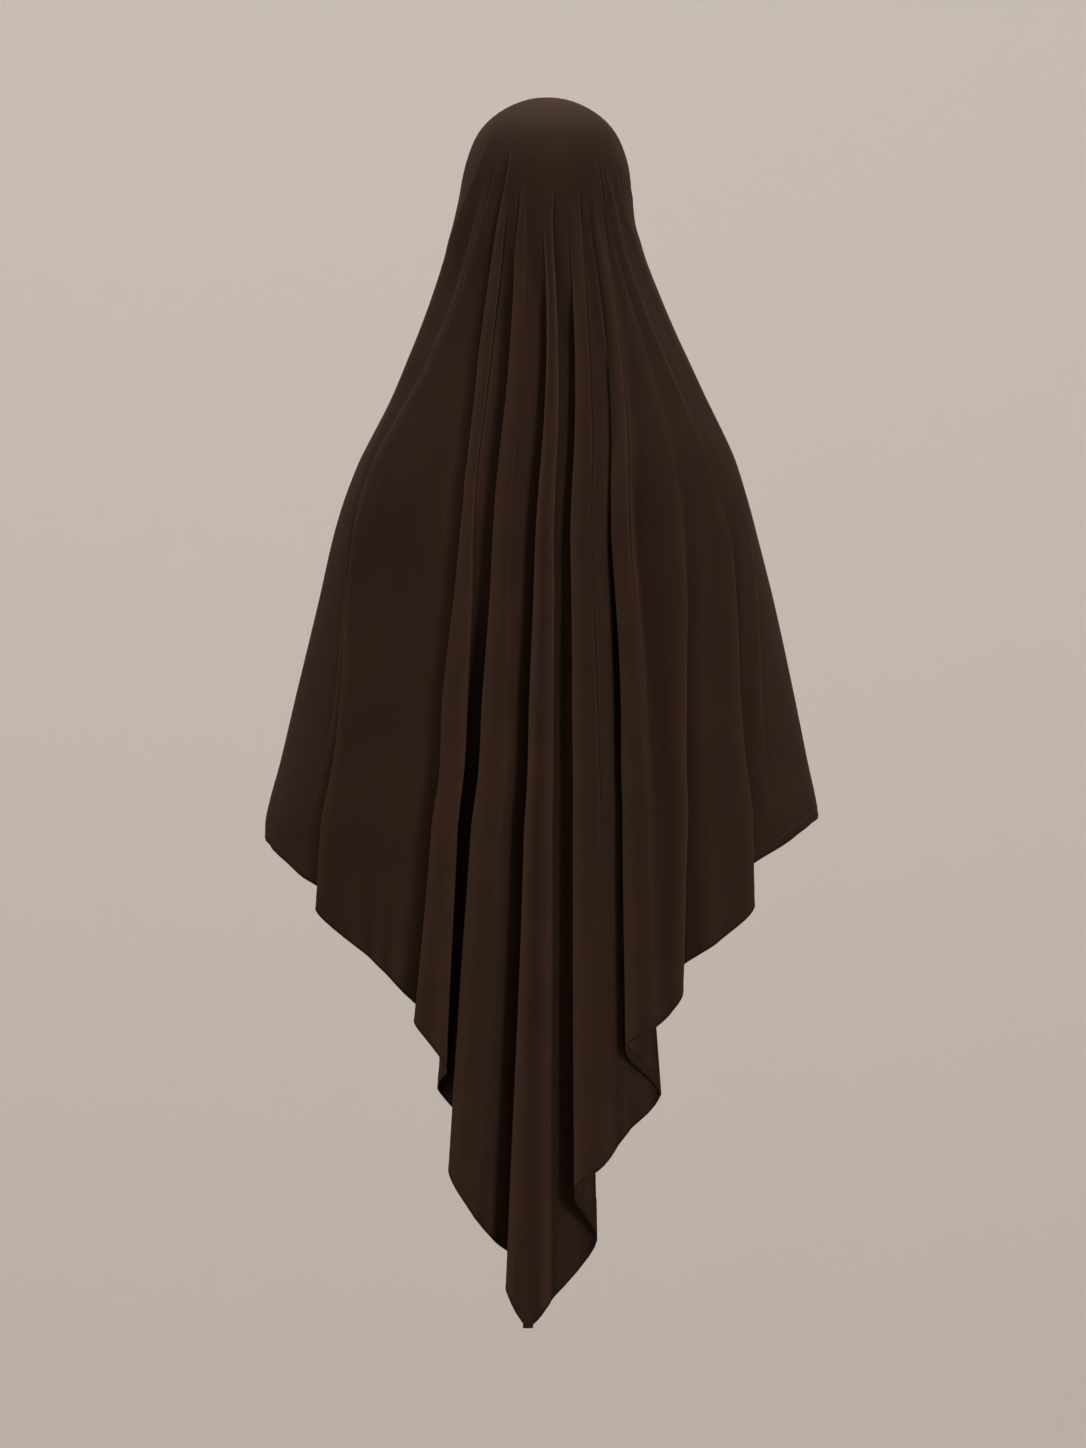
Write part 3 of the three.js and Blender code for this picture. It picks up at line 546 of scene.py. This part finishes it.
def ovalAngle(x, drop):
    height = faceOval["up"] if drop < faceOval["drop"] else faceOval["down"]
    rise = (faceOval["drop"] - drop) / height
    across = (x - faceOval["across"]) / faceOval["halfWidth"]
    return math.atan2(rise, across), math.hypot(rise, across)


def frontPlace(x, drop):
    # the column and row on the front where the cloth has this x and drop, closer with each round
    columns = np.arange(backColumns, len(turns))
    column = columns.mean()
    rounds = 6
    for _ in range(rounds):
        row = np.interp(drop, onVeil(column, rowNumbers, drops), rowNumbers)
        column = np.interp(-x, -onVeil(columns, row, points)[:, 0], columns)
    return column, row


def gridMesh(grid):
    # a sheet of quads over grid[column, row] in mm, closed round the veil, from Blender's own grid
    grid = closedRing(grid)
    columns, rows = grid.shape[:2]
    bm = bmesh.new()
    bmesh.ops.create_grid(bm, x_segments=columns - 1, y_segments=rows - 1, size=0.5)
    place = {}
    for v in bm.verts:
        i, j = round((v.co.x + 0.5) * (columns - 1)), round((v.co.y + 0.5) * (rows - 1))
        place[v] = (i, j)
        v.co = grid[i, j] * mm
    return bm, place


def addMesh(name, bm, material, weld):
    bmesh.ops.remove_doubles(bm, verts=bm.verts, dist=weld)
    bmesh.ops.recalc_face_normals(bm, faces=bm.faces)
    for face in bm.faces:
        face.smooth = True
    mesh = bpy.data.meshes.new(name)
    bm.to_mesh(mesh)
    bm.free()
    mesh.materials.append(material)
    added = bpy.data.objects.new(name, mesh)
    bpy.context.collection.objects.link(added)
    return added


def finishPiece(name, bm, material, cadNode, thickness=0, offset=0):
    piece = addMesh(name, bm, material, weldDistance)
    if thickness:
        wall = piece.modifiers.new("wall", "SOLIDIFY")
        wall.thickness = thickness * mm
        wall.offset = offset
    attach(piece, "root")
    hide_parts(cadNode)
    print(f"{name}: {len(piece.data.polygons)} faces")
    return piece


def linear(hexColour):
    # an sRGB hex value as the linear colour that a shader takes
    parts = [int(hexColour[i:i + 2], 16) / 255 for i in (1, 3, 5)]
    return [c / 12.92 if c <= 0.04045 else ((c + 0.055) / 1.055) ** 2.4 for c in parts] + [1]


def addNode(tree, kind, settings=None, links=None):
    # one node, with its settings and what feeds its inputs
    node = tree.nodes.new(kind)
    for key, value in (settings or {}).items():
        if isinstance(key, str) and hasattr(node, key):
            setattr(node, key, value)
        else:
            node.inputs[key].default_value = value
    for key, source in (links or {}).items():
        tree.links.new(source, node.inputs[key])
    return node


def newMaterial(name, inputs):
    # a new material with these values at its shader's inputs
    material = bpy.data.materials.new(name)
    material.use_nodes = True
    shader = material.node_tree.nodes["Principled BSDF"]
    for key, value in inputs.items():
        shader.inputs[key].default_value = value
    return material, shader


crepeLook = {
    "colour": "#32231b", "shade": "#2c1f18", "roughness": 0.82, "specular": 0.1,
    "sheen": 0.03, "sheenRoughness": 0.3, "sheenTint": "#8a6b5a",
    "grain": 1.1, "grainDepth": 0.06,  # mm, a little coarser than real crepe so that it shows
    "crinkle": 4.2, "crinkleDepth": 0.4, "cloud": 60,  # mm
    # painted highlight and painted shade: how much lighter the cloth is painted where it bends over a fold,
    # and darker in a groove, at its edge and beside it
    "paintedBendLight": 1.1, "paintedWideBendLight": 0.32,
}
# The hem's relief on the veil, in mm
hemLook = {
    "band": 9.5, "bandRise": 0.3, "bandEdge": 1, "stitchRow": 8.4, "groove": 0.25, "grooveWidth": 1.1,
    "puckerLength": 8, "puckerReach": 26, "puckerDepth": 0.3,
}


def crepeMaterial(name, withHemAndPaintedLight):
    # polyester crepe, woven from hard-twisted yarn: matt, with a fine pebbled face
    material, shader = newMaterial(name, {
        "Roughness": crepeLook["roughness"],
        "Specular IOR Level": crepeLook["specular"],
        "Sheen Weight": crepeLook["sheen"],
        "Sheen Roughness": crepeLook["sheenRoughness"],
        "Sheen Tint": linear(crepeLook["sheenTint"]),
    })
    tree = material.node_tree

    where = addNode(tree, "ShaderNodeTexCoord").outputs["Object"]
    grain = addNode(tree, "ShaderNodeTexNoise",
                    {"Scale": 1 / (crepeLook["grain"] * mm), "Detail": 2.0, "Roughness": 0.6},
                    {"Vector": where})
    crinkle = addNode(tree, "ShaderNodeTexNoise",
                      {"Scale": 1 / (crepeLook["crinkle"] * mm), "Detail": 1.5, "Distortion": 1.6},
                      {"Vector": where})
    cloud = addNode(tree, "ShaderNodeTexNoise",
                    {"Scale": 1 / (crepeLook["cloud"] * mm), "Detail": 3.0}, {"Vector": where})
    share = addNode(tree, "ShaderNodeMapRange", {"From Min": 0.2, "From Max": 0.8},
                    {"Value": cloud.outputs["Fac"]})
    tone = addNode(tree, "ShaderNodeMix",
                   {"data_type": "RGBA", 6: linear(crepeLook["shade"]), 7: linear(crepeLook["colour"])},
                   {0: share.outputs["Result"]})
    colour = tone.outputs[2]
    crumple = addNode(tree, "ShaderNodeBump", {"Distance": crepeLook["crinkleDepth"] * mm},
                      {"Height": crinkle.outputs["Fac"]})
    pebble = addNode(tree, "ShaderNodeBump", {"Distance": crepeLook["grainDepth"] * mm},
                     {"Height": grain.outputs["Fac"], "Normal": crumple.outputs["Normal"]})
    # the veil's own cloth also gets painted highlights over its folds and painted shade in its grooves
    if withHemAndPaintedLight:
        tree.links.new(hemRelief(tree).outputs["Normal"], crumple.inputs["Normal"])
        colour = paintBendLight(tree, colour)
    tree.links.new(colour, shader.inputs["Base Color"])
    tree.links.new(pebble.outputs["Normal"], shader.inputs["Normal"])
    return material


def paintBendLight(tree, colour):
    # the colour painted lighter over folds as a painted highlight and darker in grooves as painted shade,
    # finely and softly
    creaseUv = addNode(tree, "ShaderNodeUVMap", {"uv_map": "crease"})
    bend = addNode(tree, "ShaderNodeSeparateXYZ", links={"Vector": creaseUv.outputs["UV"]})
    fine = addNode(tree, "ShaderNodeMapRange",
                   {"From Min": -1.0, "From Max": 1.0,
                    "To Min": 1 - crepeLook["paintedBendLight"] / 2, "To Max": 1 + crepeLook["paintedBendLight"]},
                   {"Value": bend.outputs["X"]})
    wide = addNode(tree, "ShaderNodeMapRange",
                   {"From Min": -1.0, "From Max": 1.0,
                    "To Min": -crepeLook["paintedWideBendLight"], "To Max": crepeLook["paintedWideBendLight"]},
                   {"Value": bend.outputs["Y"]})
    light = addNode(tree, "ShaderNodeMath", {"operation": "ADD"},
                    {0: fine.outputs["Result"], 1: wide.outputs["Result"]})
    # the painted highlight and painted shade: the colour scaled by the bend
    paintedBendLight = addNode(tree, "ShaderNodeVectorMath", {"operation": "SCALE"},
                   {0: colour, "Scale": light.outputs["Value"]})
    return paintedBendLight.outputs["Vector"]


def hemRelief(tree):
    # the turned hem seen from outside: a band a layer higher, the stitch row's groove, puckers
    look = hemLook
    hemUv = addNode(tree, "ShaderNodeUVMap", {"uv_map": "hem"})
    parts = addNode(tree, "ShaderNodeSeparateXYZ", links={"Vector": hemUv.outputs["UV"]})
    above = parts.outputs["Y"]
    band = addNode(tree, "ShaderNodeMapRange",
                   {"interpolation_type": "SMOOTHSTEP", "From Min": look["band"] * mm,
                    "From Max": (look["band"] - look["bandEdge"]) * mm, "To Max": look["bandRise"]},
                   {"Value": above})
    offRow = addNode(tree, "ShaderNodeMath", {"operation": "SUBTRACT", 1: look["stitchRow"] * mm},
                     {0: above})
    distance = addNode(tree, "ShaderNodeMath", {"operation": "ABSOLUTE"},
                       {0: offRow.outputs["Value"]})
    groove = addNode(tree, "ShaderNodeMapRange",
                     {"interpolation_type": "SMOOTHSTEP", "From Min": 0.0,
                      "From Max": look["grooveWidth"] * mm, "To Min": look["groove"], "To Max": 0.0},
                     {"Value": distance.outputs["Value"]})
    stretched = addNode(tree, "ShaderNodeMapping",
                        {"Scale": (1 / (look["puckerLength"] * mm), 1 / (look["puckerReach"] * mm), 1)},
                        {"Vector": hemUv.outputs["UV"]})
    pucker = addNode(tree, "ShaderNodeTexNoise", {"Scale": 1.0, "Detail": 1.5, "Roughness": 0.5},
                     {"Vector": stretched.outputs["Vector"]})
    fade = addNode(tree, "ShaderNodeMapRange",
                   {"interpolation_type": "SMOOTHSTEP", "From Min": look["puckerReach"] * mm,
                    "From Max": look["stitchRow"] * mm, "To Max": look["puckerDepth"] * 2},
                   {"Value": above})
    puckers = addNode(tree, "ShaderNodeMath", {"operation": "MULTIPLY"},
                      {0: pucker.outputs["Fac"], 1: fade.outputs["Result"]})
    raised = addNode(tree, "ShaderNodeMath", {"operation": "SUBTRACT"},
                     {0: band.outputs["Result"], 1: groove.outputs["Result"]})
    height = addNode(tree, "ShaderNodeMath", {"operation": "ADD"},
                     {0: raised.outputs["Value"], 1: puckers.outputs["Value"]})
    return addNode(tree, "ShaderNodeBump", {"Distance": mm}, {"Height": height.outputs["Value"]})


threadLook = {"colour": "#2e211a", "roughness": 0.55, "sheen": 0.1}

veilCrepe = crepeMaterial("brown crepe", True)
hemCrepe = crepeMaterial("brown crepe hem", False)
# spun polyester thread in the cloth's own tone
thread, _ = newMaterial("brown polyester thread", {
    "Base Color": linear(threadLook["colour"]),
    "Roughness": threadLook["roughness"],
    "Sheen Weight": threadLook["sheen"],
})


def cutFaceOpening(bm, place):
    # take out the cloth inside the oval, then move the cut's edge on to the oval itself
    gone = []
    for face in bm.faces:
        x, y, z = face.calc_center_median() / mm
        if y > 0 and ovalAngle(x, veilForm["wall"] - z)[1] < 1:
            gone.append(face)
    bmesh.ops.delete(bm, geom=gone, context="FACES")
    for v in bm.verts:
        x, y, z = v.co / mm
        angle, reach = ovalAngle(x, veilForm["wall"] - z)
        if v.is_boundary and y > 0 and reach < faceOval["edgeReach"] and place[v][0] < len(turns):
            column, row = frontPlace(*ovalPoint(angle))
            v.co = onVeil(column, row, points) * mm


def makeVeil():
    bm, place = gridMesh(points)
    hemLayer = bm.loops.layers.uv.new("hem")
    # the crease map carries the bends that set the painted highlights and painted shade
    creaseLayer = bm.loops.layers.uv.new("crease")
    for face in bm.faces:
        for loop in face.loops:
            i, j = place[loop.vert]
            k = i % len(turns)
            loop[hemLayer].uv = (hemArc[i] * mm, toHem[k, j] * hemSlant[k] * mm)
            loop[creaseLayer].uv = creased[k, j]
    cutFaceOpening(bm, place)
    return finishPiece("veil", bm, veilCrepe, "veil_cloth", veilMesh["thickness"], -1)


veil = makeVeil()

bottomHem = {
    "depth": 9.5, "lip": 1.6, "gap": 0.2, "roll": 1.0, "thickness": 0.3, "steps": 5, "stitchRow": 8.4,
}
faceHem = {
    "depth": 8, "lip": 1.4, "gap": 0.2, "roll": 0.8, "thickness": 0.3, "steps": 4, "stitchRow": 7,
    "columns": 180,
}
# The turn over the edge: how far the lip stands off the cloth and where it ends, in mm, how far in
# the cloth's own direction is taken, and the angles of the roll in degrees
hemTurn = {"standsOff": 0.08, "lipEnd": 0.4, "within": 2.0, "angles": (30, 60, 90, 120, 150)}


def hemPath(distance):
    # points of the outer face this far above the hem, square to it, with their normals
    places = [np.interp(distance / hemSlant[i], toHem[i, ::-1], rowNumbers[::-1])
              for i in range(len(turns))]
    columns = np.arange(len(turns))
    return onVeil(columns, places, points), onVeil(columns, places, normals)


def facePath(distance):
    # points of the outer face this far outside the face opening, with their normals
    found, facing = [], []
    for k in range(faceHem["columns"]):
        angle = 2 * math.pi * k / faceHem["columns"]
        edge = onVeil(*frontPlace(*ovalPoint(angle)), points)
        near = onVeil(*frontPlace(*ovalPoint(angle, 1.0)), points)
        grow = distance / np.linalg.norm(near - edge)
        column, row = frontPlace(*ovalPoint(angle, grow))
        found.append(onVeil(column, row, points))
        facing.append(onVeil(column, row, normals))
    return np.array(found), np.array(facing)


def turnedHem(path, hem):
    # the cloth turned over its own edge: a lip outside, the roll, then the strip inside
    edge, out = path(0.0)
    off = edge - path(hemTurn["within"])[0]
    off /= np.linalg.norm(off, axis=-1, keepdims=True)
    wall = veilMesh["thickness"]
    rows = []
    for distance in (hem["lip"], hemTurn["lipEnd"]):
        at, facing = path(distance)
        rows.append(at + facing * hemTurn["standsOff"])
    for angle in hemTurn["angles"]:
        a = math.radians(angle)
        rows.append(edge - out * wall / 2 + out * (wall / 2 + hemTurn["standsOff"]) * math.cos(a)
                    + off * hem["roll"] * math.sin(a))
    for k in range(hem["steps"] + 1):
        at, facing = path(hem["depth"] * k / hem["steps"])
        rows.append(at - facing * (wall + hem["gap"]))
    return np.stack(rows, 1)


def makeHem(name, path, hem, cadNode):
    bm, _ = gridMesh(turnedHem(path, hem))
    return finishPiece(name, bm, hemCrepe, cadNode, hem["thickness"])


bottom = makeHem("bottomHem", hemPath, bottomHem, "bottom_hem")
face = makeHem("faceHem", facePath, faceHem, "face_hem")

# The square tab at the point, where both ends of the hem are folded in
pointTab = {"width": 10, "drop": 5, "thickness": 1.8, "round": 0.6, "overlap": 2.5}


def axesAt(origin, x, y, z):
    # a matrix that puts a shape's own axes along x, y and z
    turned = Matrix([Vector(v) for v in (x, y, z)]).transposed().to_4x4()
    return Matrix.Translation(Vector(origin)) @ turned


def makePointTab():
    column = int(np.argmax(hemDrops))
    edge, out = hemRing[column], normals[column, -2]
    along = np.array([1.0, 0, 0]) - out * out[0]
    along /= np.linalg.norm(along)
    down = np.cross(along, out)
    down *= -np.sign(down[2])
    centre = edge + down * (pointTab["drop"] / 2 - pointTab["overlap"]) - out * veilMesh["thickness"] / 2
    size = [pointTab["width"] * mm, pointTab["drop"] * mm, pointTab["thickness"] * mm]
    bm = bmesh.new()
    matrix = axesAt(centre * mm, along, down, np.cross(along, down)) @ Matrix.Diagonal((*size, 1))
    bmesh.ops.create_cube(bm, size=1, matrix=matrix)
    bmesh.ops.bevel(bm, geom=list(bm.edges), offset=pointTab["round"] * mm, segments=3,
                    affect="EDGES", profile=0.5)
    return finishPiece("pointTab", bm, hemCrepe, "bottom_hem")


tab = makePointTab()

stitch = {
    "pitch": 3.2, "length": 2.6, "thickness": 0.45, "raised": 0.12,
    "shape": [(-0.5, 0.4), (-0.32, 1), (0.32, 1), (0.5, 0.4)],  # along the stitch, how thick
}


def makeStitches(name, path, distance, cadNode):
    # short thick threads, end to end in a row beside the hem's edge
    at, facing = path(distance)
    at = closedRing(at + facing * stitch["raised"])
    arc = lengthAlong(at)
    count = int(arc[-1] / stitch["pitch"])
    curve = bpy.data.curves.new(name, "CURVE")
    curve.dimensions = "3D"
    curve.bevel_depth = stitch["thickness"] / 2 * mm
    curve.bevel_resolution = 1
    curve.use_fill_caps = True
    for k in range(count):
        spline = curve.splines.new("POLY")
        spline.points.add(len(stitch["shape"]) - 1)
        for point, (share, thick) in zip(spline.points, stitch["shape"]):
            s = (arc[-1] * k / count + share * stitch["length"]) % arc[-1]
            place = [np.interp(s, arc, at[:, axis]) * mm for axis in range(3)]
            point.co = (*place, 1)
            point.radius = thick
    threads = bpy.data.objects.new(name + "Curve", curve)
    bm = bmesh.new()
    bm.from_mesh(bpy.data.meshes.new_from_object(threads))
    bpy.data.objects.remove(threads)
    return finishPiece(name, bm, thread, cadNode)


hemStitches = makeStitches("hemStitches", hemPath, bottomHem["stitchRow"], "bottom_hem")
faceStitches = makeStitches("faceStitches", facePath, faceHem["stitchRow"], "face_hem")


# The studio: a pale seamless bowl, so that every side has the same plain ground. It reaches lower
# than a floor, since the veil hangs here without its wearer.
studio = {
    "floorDrop": 3.8, "radius": 9.5, "cove": 1.4, "wallTop": 5.5, "coveSteps": 14, "sides": 96,
    "paint": "#dcd6d0", "roughness": 0.95, "specular": 0.1, "weld": 1e-5,
}


def makeStudio():
    inner = studio["radius"] - studio["cove"]
    profile = [(0.0, -studio["floorDrop"]), (inner, -studio["floorDrop"])]
    for k in range(1, studio["coveSteps"] + 1):
        a = k / studio["coveSteps"] * math.pi / 2
        profile.append((inner + studio["cove"] * math.sin(a),
                        -studio["floorDrop"] + studio["cove"] * (1 - math.cos(a))))
    profile.append((studio["radius"], studio["wallTop"]))
    bm = bmesh.new()
    verts = [bm.verts.new((x, 0, z)) for x, z in profile]
    edges = [bm.edges.new(pair) for pair in zip(verts, verts[1:])]
    bmesh.ops.spin(bm, geom=verts + edges, cent=(0, 0, 0), axis=(0, 0, 1), angle=2 * math.pi,
                   steps=studio["sides"], use_merge=True)
    paint, _ = newMaterial("studio paint", {
        "Base Color": linear(studio["paint"]),
        "Roughness": studio["roughness"],
        "Specular IOR Level": studio["specular"],
    })
    addMesh("studioBowl", bm, paint, studio["weld"])


makeStudio()

# Soft boxes: width and height in metres, place, what they face, watts, colour
lights = {
    "overhead": (2.5, 1.6, (0.0, 0.55, 3.0), (0, 0, -0.1), 138, "#fff6f0"),
    "leftBox": (1.6, 3.5, (-4.6, -4.0, 0.8), (0, 0, -0.7), 100, "#fff6f0"),
    "rightBox": (1.6, 3.5, (4.6, -4.0, 0.8), (0, 0, -0.7), 130, "#fff6f0"),
    "wallWash": (6.0, 1.5, (-0.5, 2.0, 3.8), (0, 9.5, 0.6), 320, "#fffdfc"),
}


def addSoftBox(name, width, height, place, target, watts, colour):
    data = bpy.data.lights.new(name, "AREA")
    data.shape, data.size, data.size_y = "RECTANGLE", width, height
    data.energy = watts
    data.color = linear(colour)[:3]
    light = bpy.data.objects.new(name, data)
    light.location = place
    light.rotation_euler = (Vector(target) - Vector(place)).to_track_quat("-Z", "Y").to_euler()
    bpy.context.collection.objects.link(light)


for name, light in lights.items():
    addSoftBox(name, *light)

air = {"colour": "#eae6e2", "strength": 0.12}
world = bpy.data.worlds.new("studio air")
world.use_nodes = True
world.node_tree.nodes["Background"].inputs["Color"].default_value = linear(air["colour"])
world.node_tree.nodes["Background"].inputs["Strength"].default_value = air["strength"]
bpy.context.scene.world = world

# The camera stands 6 m behind the wearer. One millimetre there is one pixel of a frame 1448 high.
view = {"distance": 6.0, "across": -0.004, "height": -0.6248, "framePixels": 1448, "sensor": 36}


def addCamera():
    data = bpy.data.cameras.new("camera")
    data.sensor_width = view["sensor"]
    data.lens = view["sensor"] * view["distance"] / (view["framePixels"] * mm)
    camera = bpy.data.objects.new("camera", data)
    camera.location = (view["across"], -view["distance"], view["height"])
    camera.rotation_euler = (math.pi / 2, 0, 0)
    bpy.context.collection.objects.link(camera)
    bpy.context.scene.camera = camera


addCamera()
bpy.context.scene.view_settings.view_transform = "Standard"

print("scene: done")
